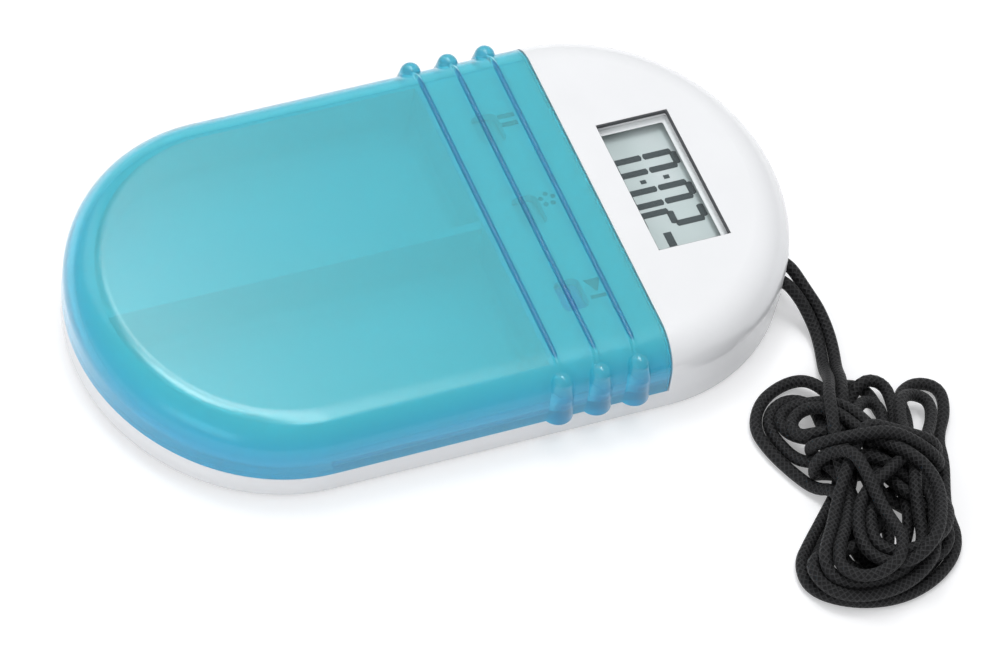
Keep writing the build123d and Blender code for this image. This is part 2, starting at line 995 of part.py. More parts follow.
# ---- Neck cord --------------------------------------------------------------
# Two strands leave the eye side by side, drop to the table and climb on the hank.
strand_left = [
    (39.2, 42.6, 5.2),
    (35.4, 43.8, 3.8),
    (31.7, 45.4, 1.6),
    (28.2, 46.9, 0.85),
    (24.6, 47.8, 0.85),
    (21.2, 47.9, 1.3),
    (18.7, 47.2, 3.2),
    (16.6, 46.3, 5.3),
]
strand_right = [
    (18.5, 45.1, 5.2),
    (20.0, 45.4, 3.2),
    (22.5, 46.0, 1.3),
    (25.5, 45.7, 0.85),
    (28.8, 44.6, 0.85),
    (32.0, 43.2, 1.6),
    (35.3, 41.8, 3.8),
    (38.8, 40.7, 5.2),
]
eye_turn = [
    eye_plane.from_local_coords((0, turn_radius, 0)),
    eye_plane.from_local_coords((-eye_pin_depth - turn_radius, turn_radius, 0)),
    eye_plane.from_local_coords((-eye_pin_depth - turn_radius, -turn_radius, 0)),
    eye_plane.from_local_coords((0, -turn_radius, 0)),
]
route_points = [Vector(*point) for point in strand_left]
route_points += [Vector(*tuple(point)) for point in eye_turn]
route_points += [Vector(*point) for point in strand_right]


def corner_radii(points):
    """Arc radius at each corner of a route, from the two runs that meet there."""
    radii = []
    for before, corner, after in zip(points, points[1:], points[2:]):
        run_in = corner - before
        run_out = after - corner
        turn = radians(run_in.get_angle(run_out))
        radii.append(cord_bend_share * min(run_in.length, run_out.length) / tan(turn / 2))
    return radii


strand_radii = corner_radii(route_points)
with BuildPart() as cord_strand:
    with BuildLine():
        strand_route = FilletPolyline(*route_points, radius=strand_radii)
    with BuildSketch(Plane(origin=strand_route @ 0, z_dir=strand_route % 0)):
        Circle(cord_radius)
    sweep()
save(cord_strand.part, "cord_strand")
tube_volume = pi * cord_radius**2 * strand_route.length
print("cord strand radii", [round(radius, 1) for radius in strand_radii])
print("cord strand volume", round(cord_strand.part.volume, 2), "of", round(tube_volume, 2))

# The rest of the cord is gathered in a tied bundle of loops: lobes round a thick middle.
# Each lobe: centre x, centre y, long radius, short radius, direction in degrees, height
hank_lobes = [
    (36.2, 37.6, 8.3, 5.2, 38, 4.0),
    (37.4, 46.6, 7.6, 4.6, -33, 4.0),
    (40.2, 52.6, 6.8, 4.9, -50, 4.0),
    (49.0, 44.6, 9.6, 8.8, 0, 8.5),
    (59.2, 39.8, 11.4, 7.0, 85, 6.0),
]


def lobe(x, y, long_radius, short_radius, direction, height):
    """Flat oval cushion, rounded along its top edge."""
    with BuildPart() as cushion:
        with BuildSketch(Plane.XY):
            with Locations(Location((x, y, 0), (0, 0, direction))):
                Ellipse(long_radius, short_radius)
        extrude(amount=height)
        fillet(cushion.edges().group_by(Axis.Z)[-1], hank_round)
    return cushion.part


with BuildPart() as cord_hank:
    for hank_lobe in hank_lobes:
        add(lobe(*hank_lobe))
save(cord_hank.part, "cord_hank")
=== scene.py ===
import math

import bpy
import numpy as np
from mathutils import Matrix, Vector


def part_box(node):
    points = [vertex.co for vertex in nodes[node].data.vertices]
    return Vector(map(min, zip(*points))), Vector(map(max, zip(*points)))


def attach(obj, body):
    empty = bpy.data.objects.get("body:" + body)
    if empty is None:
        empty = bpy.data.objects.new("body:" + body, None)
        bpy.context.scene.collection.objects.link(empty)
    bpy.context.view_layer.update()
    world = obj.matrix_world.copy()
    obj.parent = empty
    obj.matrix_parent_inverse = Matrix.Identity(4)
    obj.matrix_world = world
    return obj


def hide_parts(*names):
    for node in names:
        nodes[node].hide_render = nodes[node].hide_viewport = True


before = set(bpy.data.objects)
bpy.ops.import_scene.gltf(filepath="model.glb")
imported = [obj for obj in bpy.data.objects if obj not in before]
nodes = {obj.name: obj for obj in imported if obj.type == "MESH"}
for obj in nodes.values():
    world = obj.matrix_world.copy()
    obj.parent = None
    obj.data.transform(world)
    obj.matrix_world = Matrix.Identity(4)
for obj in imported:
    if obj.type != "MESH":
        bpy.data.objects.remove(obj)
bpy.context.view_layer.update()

# The scene is in metres. Comments say which lengths are in mm, and MM turns those into metres.
MM = 0.001
scene = bpy.context.scene
scene.view_settings.view_transform = "Standard"


# ---------------------------------------------------------------- camera
# The photo's camera, fitted to the object's edges: its frame and focal length in px, its turn as
# an axis times an angle, and its shift in mm. The sensor is in mm too, the clip range in metres.
IMAGE_WIDTH = 994
IMAGE_HEIGHT = 647
FOCAL_PX = 6117.5148
VIEW_TURN = (2.04006329, 1.4445377, -0.38118577)
VIEW_SHIFT = (-9.51630738, -4.83903111, 798.49569534)
SENSOR_WIDTH = 36.0
CLIP_NEAR = 0.05
CLIP_FAR = 20.0


def rotation_from(turn):
    axis = Vector(turn)
    return Matrix.Rotation(axis.length, 3, axis.normalized())


VIEW = rotation_from(VIEW_TURN)
CAMERA_PLACE = -(VIEW.transposed() @ Vector(VIEW_SHIFT))


def seen_at(px, py, height):
    """The point in mm at a height over the floor that shows at a place of the photo."""
    ray = VIEW.transposed() @ Vector(
        ((px - IMAGE_WIDTH / 2) / FOCAL_PX, (py - IMAGE_HEIGHT / 2) / FOCAL_PX, 1.0)
    )
    return CAMERA_PLACE + ray * ((height - CAMERA_PLACE.z) / ray.z)


def make_camera():
    data = bpy.data.cameras.new("camera")
    data.sensor_fit = "HORIZONTAL"
    data.sensor_width = SENSOR_WIDTH
    data.lens = FOCAL_PX * SENSOR_WIDTH / IMAGE_WIDTH
    data.clip_start = CLIP_NEAR
    data.clip_end = CLIP_FAR
    camera = bpy.data.objects.new("camera", data)
    scene.collection.objects.link(camera)
    rows = Matrix((VIEW[0], -VIEW[1], -VIEW[2]))
    camera.matrix_world = Matrix.Translation(CAMERA_PLACE * MM) @ rows.transposed().to_4x4()
    scene.camera = camera


make_camera()


# ---------------------------------------------------------------- small helpers
def add_mesh(name, verts, faces, material, smooth=False):
    mesh = bpy.data.meshes.new(name)
    mesh.from_pydata([tuple(v) for v in verts], [], faces)
    mesh.update()
    mesh.materials.append(material)
    for polygon in mesh.polygons:
        polygon.use_smooth = smooth
    piece = bpy.data.objects.new(name, mesh)
    scene.collection.objects.link(piece)
    return piece


class Tree:
    """A material's node tree, with short calls for the nodes that are used often."""

    def __init__(self, name):
        self.material = bpy.data.materials.new(name)
        self.material.use_nodes = True
        self.tree = self.material.node_tree
        self.tree.nodes.clear()
        self.output = self.node("ShaderNodeOutputMaterial")
        self.shader = self.node("ShaderNodeBsdfPrincipled")
        self.link(self.shader.outputs["BSDF"], self.output.inputs["Surface"])
        self.place = self.node("ShaderNodeTexCoord").outputs["Object"]

    def node(self, kind, **values):
        made = self.tree.nodes.new(kind)
        for key, value in values.items():
            setattr(made, key, value)
        return made

    def link(self, source, target):
        self.tree.links.new(source, target)

    def set(self, **values):
        for key, value in values.items():
            self.shader.inputs[key.replace("_", " ")].default_value = value
        return self

    def noise(self, scale, detail=3.0, place=None):
        made = self.node("ShaderNodeTexNoise")
        made.inputs["Scale"].default_value = scale
        made.inputs["Detail"].default_value = detail
        self.link(place or self.place, made.inputs["Vector"])
        return made.outputs["Fac"]

    def stretched(self, x, y, z):
        made = self.node("ShaderNodeMapping")
        made.inputs["Scale"].default_value = (x, y, z)
        self.link(self.place, made.inputs["Vector"])
        return made.outputs["Vector"]

    def ramp(self, source, stops):
        made = self.node("ShaderNodeValToRGB")
        elements = made.color_ramp.elements
        while len(elements) < len(stops):
            elements.new(0.5)
        for element, (position, colour) in zip(elements, stops):
            element.position = position
            element.color = (*colour, 1.0)
        self.link(source, made.inputs["Fac"])
        return made.outputs["Color"]

    def between(self, source, low, high, start=0.3, end=0.7):
        made = self.node("ShaderNodeMapRange")
        made.inputs["From Min"].default_value = start
        made.inputs["From Max"].default_value = end
        made.inputs["To Min"].default_value = low
        made.inputs["To Max"].default_value = high
        self.link(source, made.inputs["Value"])
        return made.outputs["Result"]

    def maths(self, operation, first, second=None):
        made = self.node("ShaderNodeMath", operation=operation)
        for value, target in ((first, made.inputs[0]), (second, made.inputs[1])):
            if value is None:
                continue
            if isinstance(value, (int, float)):
                target.default_value = value
            else:
                self.link(value, target)
        return made.outputs[0]

    def bump(self, source, strength, distance, after=None):
        made = self.node("ShaderNodeBump")
        made.inputs["Strength"].default_value = strength
        made.inputs["Distance"].default_value = distance
        self.link(source, made.inputs["Height"])
        if after is not None:
            self.link(after, made.inputs["Normal"])
        return made.outputs["Normal"]

    def colour(self, source):
        self.link(source, self.shader.inputs["Base Color"])
        return self

    def rough(self, source):
        self.link(source, self.shader.inputs["Roughness"])
        return self

    def normal(self, source):
        self.link(source, self.shader.inputs["Normal"])
        return self


def shades(colour, spread):
    """Three stops of one colour, a little darker and a little lighter."""
    dark = tuple(max(c * (1 - spread), 0.0) for c in colour)
    light = tuple(min(c * (1 + spread) + 0.1 * spread, 1.0) for c in colour)
    return [(0.3, dark), (0.5, colour), (0.7, light)]


def moulded(name, colour, roughness, grain=2600.0, depth=0.00002, spread=0.04, **values):
    """Moulded plastic: a fine grain, slight flow marks and rubbed patches. depth is in metres."""
    m = Tree(name)
    m.set(**values)
    m.colour(m.ramp(m.noise(90.0, 4.0), shades(colour, spread)))
    m.rough(m.between(m.noise(240.0, 5.0), roughness * 0.85, roughness * 1.2))
    fine = m.bump(m.noise(grain, 2.0), 0.25, depth)
    m.normal(m.bump(m.noise(60.0, 2.0), 0.2, 0.0001, fine))
    return m.material


def metal(name, colour, roughness, stretch=(1.0, 1.0, 1.0), spread=0.12, **values):
    """Plated or drawn metal with fine rolling marks and dull patches."""
    m = Tree(name)
    m.set(Metallic=1.0, **values)
    lines = m.noise(1500.0, 4.0, place=m.stretched(*stretch))
    m.colour(m.ramp(m.noise(400.0, 4.0), shades(colour, spread)))
    m.rough(m.between(m.noise(700.0, 5.0), roughness * 0.7, roughness * 1.4))
    m.normal(m.bump(lines, 0.3, 0.00002))
    return m.material


# ---------------------------------------------------------------- floor, light and world
# Half the floor's side and its drop under the object in metres, and how much it glows.
FLOOR_SIDE = 1.5
FLOOR_BELOW = 0.00002
FLOOR_GLOW = 0.3
# The world that lights the object, and the one that the camera sees.
WORLD_LIGHT = (0.97, 0.985, 1.0, 1.0)
WORLD_LIGHT_STRENGTH = 0.5
WORLD_SHOWN = (1.0, 1.0, 1.0, 1.0)
WORLD_SHOWN_STRENGTH = 1.0
# Softboxes: place and size in metres, power in watts.
STRIP_LIGHT = ((-0.27, 0.17, 1.0), (1.05, 0.2), 4.3)
CORNER_LIGHT = ((-0.36, -0.05, 1.0), (0.3, 0.16), 1.7)
LEFT_LIGHT = ((-0.9, -0.4, 0.8), (0.6, 0.6), 1.0)
FRONT_LIGHT = ((0.6, -0.95, 0.45), (0.8, 0.5), 4.0)


def make_floor():
    """Pale paper that shows near white to the camera and still takes the object's shadow."""
    m = Tree("floor_paper")
    m.set(Roughness=0.9, Specular_IOR_Level=0.1)
    m.colour(m.ramp(m.noise(3.0, 2.0), [(0.3, (0.79, 0.79, 0.8)), (0.7, (0.81, 0.81, 0.82))]))
    path = m.node("ShaderNodeLightPath")
    seen = m.maths("MAXIMUM", path.outputs["Is Camera Ray"], path.outputs["Is Glossy Ray"])
    seen = m.maths("MAXIMUM", seen, path.outputs["Is Transmission Ray"])
    glow = m.node("ShaderNodeEmission")
    m.link(m.maths("MULTIPLY", seen, FLOOR_GLOW), glow.inputs["Strength"])
    both = m.node("ShaderNodeAddShader")
    m.link(m.shader.outputs["BSDF"], both.inputs[0])
    m.link(glow.outputs["Emission"], both.inputs[1])
    m.link(both.outputs["Shader"], m.output.inputs["Surface"])
    side = FLOOR_SIDE
    floor = add_mesh(
        "floor",
        [(-side, -side, 0.0), (side, -side, 0.0), (side, side, 0.0), (-side, side, 0.0)],
        [(0, 1, 2, 3)],
        m.material,
    )
    floor.location.z = -FLOOR_BELOW


def make_world():
    """A soft even light, with a white background for the camera and through clear pieces."""
    world = bpy.data.worlds.new("studio")
    scene.world = world
    world.use_nodes = True
    tree = world.node_tree
    tree.nodes.clear()
    out = tree.nodes.new("ShaderNodeOutputWorld")
    around = tree.nodes.new("ShaderNodeBackground")
    around.inputs["Color"].default_value = WORLD_LIGHT
    around.inputs["Strength"].default_value = WORLD_LIGHT_STRENGTH
    shown = tree.nodes.new("ShaderNodeBackground")
    shown.inputs["Color"].default_value = WORLD_SHOWN
    shown.inputs["Strength"].default_value = WORLD_SHOWN_STRENGTH
    path = tree.nodes.new("ShaderNodeLightPath")
    most = tree.nodes.new("ShaderNodeMath")
    most.operation = "MAXIMUM"
    tree.links.new(path.outputs["Is Camera Ray"], most.inputs[0])
    tree.links.new(path.outputs["Is Transmission Ray"], most.inputs[1])
    mix = tree.nodes.new("ShaderNodeMixShader")
    tree.links.new(most.outputs[0], mix.inputs["Fac"])
    tree.links.new(around.outputs["Background"], mix.inputs[1])
    tree.links.new(shown.outputs["Background"], mix.inputs[2])
    tree.links.new(mix.outputs["Shader"], out.inputs["Surface"])


def softbox(name, place, size, power, overhead=False):
    """An area lamp that faces the origin, or straight down."""
    data = bpy.data.lights.new(name, "AREA")
    data.shape = "RECTANGLE"
    data.size = size[0]
    data.size_y = size[1]
    data.energy = power
    lamp = bpy.data.objects.new(name, data)
    scene.collection.objects.link(lamp)
    lamp.location = place
    if not overhead:
        lamp.rotation_euler = (-Vector(place)).to_track_quat("-Z", "Y").to_euler()
    return lamp


make_floor()
make_world()
softbox("strip_softbox", *STRIP_LIGHT, overhead=True)
softbox("corner_softbox", *CORNER_LIGHT, overhead=True)
softbox("left_fill", *LEFT_LIGHT)
front_fill = softbox("front_fill", *FRONT_LIGHT)
front_fill.visible_glossy = False


# ---------------------------------------------------------------- cord
# The drawn tube: its radius in mm, its sides, and the least step along it in metres.
CORD_RADIUS = 0.82
TUBE_SIDES = 14
TUBE_STEP = 0.0004
# The braid: yarns met on the way round, and crossings for each mm along.
YARNS_ROUND = 6.0
CROSSINGS_ALONG = 1.25
# Points of the cord's line. EYE_POINTS, EYE_RETURN, the strands and WRAP_TURNS are in mm.
# HANK_TURNS and LAST_TURN give a place in the photo in px and a height over the floor in mm.
EYE_POINTS = [(13.8, 41.46, 6.0), (12.43, 42.28, 6.0), (14.13, 45.11, 6.0)]
EYE_RETURN = [(16.87, 43.47, 6.0), (15.18, 40.64, 6.0), (13.8, 41.46, 6.0)]
LEFT_STRAND = [
    (18.0, 46.4, 4.2),
    (20.1, 47.5, 2.6),
    (23.0, 47.85, 1.3),
    (25.9, 47.4, 0.9),
    (29.1, 46.45, 0.9),
    (32.8, 45.15, 2.4),
    (36.65, 43.3, 4.4),
    (40.4, 41.7, 4.6),
]
RIGHT_STRAND = [
    (39.6, 40.3, 4.8),
    (35.95, 41.75, 4.4),
    (32.15, 43.6, 2.4),
    (28.6, 44.85, 0.9),
    (25.5, 45.75, 0.9),
    (22.8, 46.2, 1.3),
    (20.6, 45.8, 2.6),
    (18.9, 45.0, 4.2),
]
HANK_TURNS = [
    # left strand arrives at the waist and goes down the left leg
    (842, 455, 4.6), (838, 478, 3.6), (832, 500, 2.4),
    # outermost turn round the bottom, left to right
    (834, 524, 1.4), (820, 546, 0.9), (802, 566, 0.9), (810, 592, 0.9), (856, 602, 0.9),
    (904, 595, 0.9), (940, 570, 0.9), (956, 540, 0.9), (946, 508, 1.5),
    (942, 480, 2.4), (937, 455, 2.4),
    # right lobe, outer turn
    (936, 436, 1.5), (946, 410, 0.9), (940, 386, 0.9), (914, 381, 0.9), (894, 394, 0.9),
    (902, 418, 1.6),
    # through the middle and round the bottom
    (914, 445, 2.6), (902, 474, 2.0), (882, 502, 1.4), (862, 528, 1.0), (836, 548, 0.9),
    (818, 568, 0.9), (830, 588, 0.9), (862, 592, 0.9), (900, 586, 0.9), (933, 565, 0.9),
    (942, 538, 1.2), (920, 512, 1.8), (888, 490, 2.4), (862, 466, 2.8),
    (836, 440, 2.4), (820, 414, 1.4), (822, 390, 0.9), (842, 381, 0.9), (866, 390, 1.0),
    (886, 416, 1.6), (902, 442, 2.4), (922, 468, 2.4), (940, 496, 2.4),
    # second turn round the bottom, right to left
    (948, 528, 1.6), (936, 558, 1.2), (908, 580, 0.9), (862, 589, 0.9), (820, 584, 1.0),
    (811, 562, 1.6), (828, 538, 2.4), (844, 512, 2.6), (852, 480, 3.0), (856, 455, 3.4),
    # middle lobe, up on the left side
    (848, 425, 3.0), (848, 398, 2.2), (861, 382, 1.4), (884, 387, 1.0), (896, 408, 1.2),
    (894, 432, 2.2), (892, 455, 3.4), (900, 482, 3.4), (908, 514, 3.0),
    # a smaller turn at the bottom, on the left
    (906, 546, 2.4), (886, 566, 2.4), (856, 568, 2.0), (834, 556, 2.4), (834, 532, 3.2),
    # a small turn in the middle of the lower part
    (852, 508, 3.4), (876, 504, 2.8), (893, 524, 2.2), (888, 550, 1.8), (864, 560, 1.8),
    (846, 544, 2.6), (844, 512, 4.0), (850, 482, 4.4),
    # left lobe, outer turn
    (832, 470, 3.4), (802, 463, 2.0), (770, 449, 1.0), (754, 428, 0.9), (761, 400, 0.9),
    (786, 382, 0.9), (812, 383, 1.4), (832, 400, 2.4), (846, 430, 3.6),
    (866, 458, 4.6), (890, 480, 4.6), (924, 500, 4.2),
    # a turn at the lower right
    (948, 530, 2.6), (944, 556, 2.0), (914, 566, 2.6), (880, 554, 3.6), (858, 530, 4.2),
    (852, 500, 4.8), (848, 476, 5.0),
    # left lobe beside the outer one
    (828, 460, 4.2), (804, 450, 3.0), (778, 438, 1.4), (766, 420, 1.2), (774, 403, 1.4),
    (794, 393, 2.0), (818, 398, 3.0), (838, 424, 4.6),
    (862, 456, 5.2), (880, 480, 5.2), (884, 512, 5.0),
    (870, 536, 4.6), (844, 546, 3.8), (822, 556, 3.0), (815, 573, 2.6), (832, 590, 2.6),
    (864, 594, 2.6), (906, 584, 2.8), (936, 558, 3.2), (942, 530, 3.8), (934, 500, 4.4),
    (916, 474, 4.8), (880, 462, 5.4),
    # left lobe, second turn
    (838, 456, 5.2), (812, 447, 3.6), (788, 435, 2.8), (775, 418, 2.8), (786, 404, 2.8),
    (806, 403, 3.0), (828, 405, 3.8), (852, 418, 4.8),
    (876, 442, 5.6), (906, 464, 5.6), (932, 486, 4.8),
    (944, 514, 4.2), (938, 542, 4.4), (908, 558, 5.0), (876, 548, 5.4), (866, 518, 5.8),
    (876, 482, 5.8),
    # middle lobe, inner turn
    (889, 450, 5.0), (892, 424, 3.8), (884, 402, 3.4), (866, 396, 3.4), (852, 408, 3.6),
    # left lobe, third turn
    (844, 436, 4.8), (822, 450, 4.4), (798, 444, 3.6), (788, 425, 3.2), (803, 407, 3.4),
    (830, 411, 4.4), (866, 438, 6.0),
    # down the right leg again, up into the inner right lobe
    (904, 458, 6.0), (930, 480, 5.2), (940, 510, 4.8), (932, 546, 4.8), (906, 564, 5.2),
    (872, 556, 5.4), (850, 530, 5.8), (858, 496, 6.2), (886, 468, 6.0),
    (906, 450, 4.6), (898, 426, 3.2), (894, 405, 2.4), (910, 393, 2.2), (932, 398, 2.2),
    (934, 424, 3.0), (925, 452, 4.4),
    (914, 480, 5.6), (920, 512, 5.4), (926, 545, 4.4), (902, 578, 2.6), (862, 590, 3.0),
    (828, 578, 3.4), (824, 556, 4.4), (838, 530, 5.2), (846, 505, 6.0),
    (844, 476, 6.4),
]
WRAP_TURNS = [
    # wraps: over to the right, under, up on the left, over again
    (44.9, 40.9, 7.0), (43.7, 43.3, 7.7), (44.5, 46.0, 8.1), (45.5, 48.4, 8.0),
    (46.2, 50.6, 6.8), (46.8, 52.8, 4.4), (46.2, 52.6, 1.6), (45.2, 49.0, 0.9),
    (44.0, 45.4, 0.9), (43.0, 41.8, 0.9), (42.2, 38.4, 0.9),
    (41.8, 36.8, 3.4), (42.5, 37.2, 6.6),
    (44.6, 41.8, 8.2), (46.2, 45.0, 8.8), (47.2, 48.2, 8.6), (48.0, 50.8, 7.0), (48.6, 52.8, 4.4),
    (47.9, 52.4, 1.4), (46.8, 49.0, 0.9), (45.8, 45.4, 0.9), (44.8, 41.8, 0.9), (44.0, 38.4, 0.9),
    (43.6, 36.6, 3.4), (44.3, 36.9, 6.6),
    # diagonal strand down over the top
    (47.0, 40.6, 8.8), (50.5, 40.4, 9.2), (54.0, 40.4, 9.0), (57.5, 41.0, 8.4), (60.4, 41.6, 7.0),
]
LAST_TURN = [
    (900, 572, 4.6), (868, 584, 4.4), (838, 570, 5.0), (838, 545, 6.0), (852, 515, 6.6),
    (850, 484, 6.6), (846, 456, 5.8),
]


def knots_basis(count, per_span):
    """Rows of a clamped quadratic B-spline's weights, as Blender's order 3 endpoint curve has."""
    spans = count - 2
    knots = np.concatenate([[0.0] * 3, np.arange(1.0, spans), [float(spans)] * 3])
    steps = np.minimum(np.linspace(0.0, spans, spans * per_span + 1), spans - 1e-9)
    weights = np.zeros((len(steps), count))
    for row, t in enumerate(steps):
        k = int(t) + 2
        left = (t - knots[k]) / (knots[k + 1] - knots[k])
        before = (t - knots[k - 1]) / (knots[k + 1] - knots[k - 1])
        after = (t - knots[k]) / (knots[k + 2] - knots[k])
        weights[row, k - 2] = (1 - left) * (1 - before)
        weights[row, k - 1] = (1 - left) * before + left * (1 - after)
        weights[row, k] = left * after
    return weights


# How the hank is laid: lengths in mm, and shares of a move for each of the turns.
SETTLE_TURNS = 260
SETTLE_LISTED_EVERY = 8
SETTLE_PER_SPAN = 5
SETTLE_FREE_ENDS = 3
SETTLE_GAP = 1.66
SETTLE_REACH = 3.0
SETTLE_APART_ALONG = 4.5
SETTLE_LIFT = 0.35
SETTLE_PUSH = 1.3
SETTLE_PULL_BACK = 0.03
SETTLE_SINK = 0.02
SETTLE_EASE = (0.003, 0.003, 0.04)
SETTLE_OVER_FLOOR = 0.05


def settle(points, held_first, held_last):
    """Lays the hank's turns on and beside each other: they push apart, sink and ease."""
    start = points.copy()
    place = points.copy()
    weights = knots_basis(len(points), SETTLE_PER_SPAN)
    share = weights.sum(0)[:, None]
    first = second = np.zeros(0, int)
    for turn in range(SETTLE_TURNS):
        line = weights @ place
        if turn % SETTLE_LISTED_EVERY == 0:
            steps = np.linalg.norm(np.diff(line, axis=0), axis=1)
            along = np.concatenate([[0.0], np.cumsum(steps)])
            apart = ((line[:, None] - line[None]) ** 2).sum(2)
            other = np.abs(along[:, None] - along[None]) > SETTLE_APART_ALONG
            near = (apart < SETTLE_REACH**2) & other
            first, second = np.where(np.triu(near))
        between = line[first] - line[second]
        reach = np.linalg.norm(between, axis=1)
        close = reach < SETTLE_GAP
        one, two = first[close], second[close]
        away, length = between[close], reach[close][:, None]
        same = length[:, 0] < SETTLE_LIFT
        upward = np.where(one > two, 1, -1)[same][:, None]
        away[same] = np.array([0.0, 0.0, SETTLE_LIFT]) * upward
        size = np.maximum(np.linalg.norm(away, axis=1)[:, None], 1e-6)
        push = away / size * (SETTLE_GAP - length) * 0.5
        moved = np.zeros_like(line)
        count = np.zeros(len(line))
        np.add.at(moved, one, push)
        np.add.at(moved, two, -push)
        np.add.at(count, one, 1)
        np.add.at(count, two, 1)
        moved /= np.sqrt(np.maximum(count, 1))[:, None]
        place += SETTLE_PUSH * (weights.T @ moved) / share
        left = 1 - turn / SETTLE_TURNS
        place[:, :2] += (start - place)[:, :2] * SETTLE_PULL_BACK * left
        place[:, 2] -= SETTLE_SINK * left
        bend = np.zeros_like(place)
        bend[1:-1] = (place[2:] + place[:-2]) / 2 - place[1:-1]
        place += bend * np.array(SETTLE_EASE) * left
        place[:, 2] = np.maximum(place[:, 2], CORD_RADIUS + SETTLE_OVER_FLOOR)
        place[:held_first] = start[:held_first]
        place[-held_last:] = start[-held_last:]
    return place


def cord_points():
    """The control points of the whole cord in mm, from the eye pin through the hank and back."""
    hank = [tuple(seen_at(*p)) for p in HANK_TURNS] + WRAP_TURNS
    hank += [tuple(seen_at(*p)) for p in LAST_TURN]
    free = np.array(LEFT_STRAND + hank + RIGHT_STRAND)
    held_first = len(LEFT_STRAND) - SETTLE_FREE_ENDS
    held_last = len(RIGHT_STRAND) - SETTLE_FREE_ENDS
    free = settle(free, held_first, held_last)
    return np.concatenate([EYE_POINTS, free, EYE_RETURN])


def braid_material():
    """Braided black polyester: two crossing sets of yarns, with painted shade in their gaps and
    painted highlights on their crowns.
    """
    m = Tree("black_braid")
    m.set(Sheen_Weight=0.03, Sheen_Roughness=0.4, Specular_IOR_Level=0.3)
    parts = m.node("ShaderNodeSeparateXYZ")
    m.link(m.node("ShaderNodeUVMap", uv_map="along").outputs["UV"], parts.inputs[0])
    along, round_it = parts.outputs["X"], parts.outputs["Y"]
    turned = m.maths("MULTIPLY", round_it, YARNS_ROUND)
    steps = m.maths("MULTIPLY", along, CROSSINGS_ALONG)
    one = m.maths("PINGPONG", m.maths("ADD", steps, turned), 0.5)
    two = m.maths("PINGPONG", m.maths("SUBTRACT", steps, turned), 0.5)
    yarns = m.maths("MULTIPLY", m.maths("MAXIMUM", one, two), 2.0)
    fuzz = m.noise(5200.0, 3.0)
    height = m.maths("ADD", yarns, m.maths("MULTIPLY", fuzz, 0.5))
    # The ramp paints shade into the gaps between the yarns and highlights onto their crowns.
    stops = [
        (0.3, (0.002, 0.002, 0.0024)),
        (0.7, (0.006, 0.006, 0.0066)),
        (1.0, (0.045, 0.045, 0.048)),
    ]
    m.colour(m.ramp(m.maths("MULTIPLY", height, 0.72), stops))
    m.rough(m.between(fuzz, 0.45, 0.75))
    m.normal(m.bump(height, 0.8, 0.00014))
    return m.material


def tube_along(name, line, radius, sides, material):
    """A round tube that follows the points of the cord's own curve."""
    line = np.array(line)
    keep = [0]
    for i in range(1, len(line)):
        if np.linalg.norm(line[i] - line[keep[-1]]) > TUBE_STEP:
            keep.append(i)
    keep[-1] = len(line) - 1
    line = line[keep]
    count = len(line)
    ahead = np.gradient(line, axis=0)
    ahead /= np.linalg.norm(ahead, axis=1)[:, None]
    side = Vector((0.0, 0.0, 1.0)).cross(Vector(ahead[0])).normalized()
    verts = []
    for i in range(count):
        direction = Vector(ahead[i])
        side = (side - direction * side.dot(direction)).normalized()
        up = direction.cross(side)
        for k in range(sides):
            turn = 2 * math.pi * k / sides
            verts.append(Vector(line[i]) + (side * math.cos(turn) + up * math.sin(turn)) * radius)
    faces = []
    for i in range(count - 1):
        here, after = i * sides, (i + 1) * sides
        for k in range(sides):
            j = (k + 1) % sides
            faces.append((here + k, here + j, after + j, after + k))
    faces.append(tuple(range(sides))[::-1])
    faces.append(tuple((count - 1) * sides + k for k in range(sides)))
    piece = add_mesh(name, verts, faces, material, smooth=True)
    steps = np.concatenate([[0.0], np.cumsum(np.linalg.norm(np.diff(line, axis=0), axis=1))]) / MM
    uv = piece.data.uv_layers.new(name="along")
    for polygon in piece.data.polygons:
        rows = [piece.data.loops[i].vertex_index for i in polygon.loop_indices]
        turns = {r % sides for r in rows}
        wraps = len(rows) == 4 and {0, sides - 1} <= turns
        for i, r in zip(polygon.loop_indices, rows):
            turn = 1.0 if wraps and r % sides == 0 else (r % sides) / sides
            uv.data[i].uv = (steps[r // sides], turn)
    return piece, line


def make_cord():
    """One tube along the cord's curve, in place of the plain solids of the strands and the hank."""
    points = cord_points() * MM
    data = bpy.data.curves.new("neck_cord_line", "CURVE")
    data.dimensions = "3D"
    spline = data.splines.new("NURBS")
    spline.points.add(len(points) - 1)
    for target, point in zip(spline.points, points):
        target.co = (*point, 1.0)
    spline.order_u = 3
    spline.use_endpoint_u = True
    spline.resolution_u = 8
    bare = bpy.data.objects.new("neck_cord_line", data)
    scene.collection.objects.link(bare)
    bpy.context.view_layer.update()
    drawn = bpy.data.meshes.new_from_object(bare)
    line = [tuple(v.co) for v in drawn.vertices]
    bpy.data.meshes.remove(drawn)
    bpy.data.objects.remove(bare)
    piece, path = tube_along("neck_cord", line, CORD_RADIUS * MM, TUBE_SIDES, braid_material())
    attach(piece, "body")
    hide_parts("cord_strand", "cord_hank")


make_cord()


# ---------------------------------------------------------------- finishes of the CAD nodes
# The cover in metres: the heights between which its colour changes, how far that line wanders,
# and the bands in which its ribs and grips begin, where the colour turns a darker blue that is
# partly their thicker plastic and partly painted shade of their edges.
COVER_LOW = 0.0065
COVER_HIGH = 0.0128
COVER_WANDER = 0.0016
RIB_LOW = 0.01203
RIB_HIGH = 0.01215
GRIP_IN = 0.0280
GRIP_OUT = 0.0290
GRIP_DEPTH = 0.5
THICK_AND_SHADED_BLUE = (0.02, 0.27, 0.52, 1.0)


def dress(material, *names):
    """Puts a material on every slot of the named CAD nodes."""
    for name in names:
        for slot in nodes[name].material_slots:
            slot.material = material


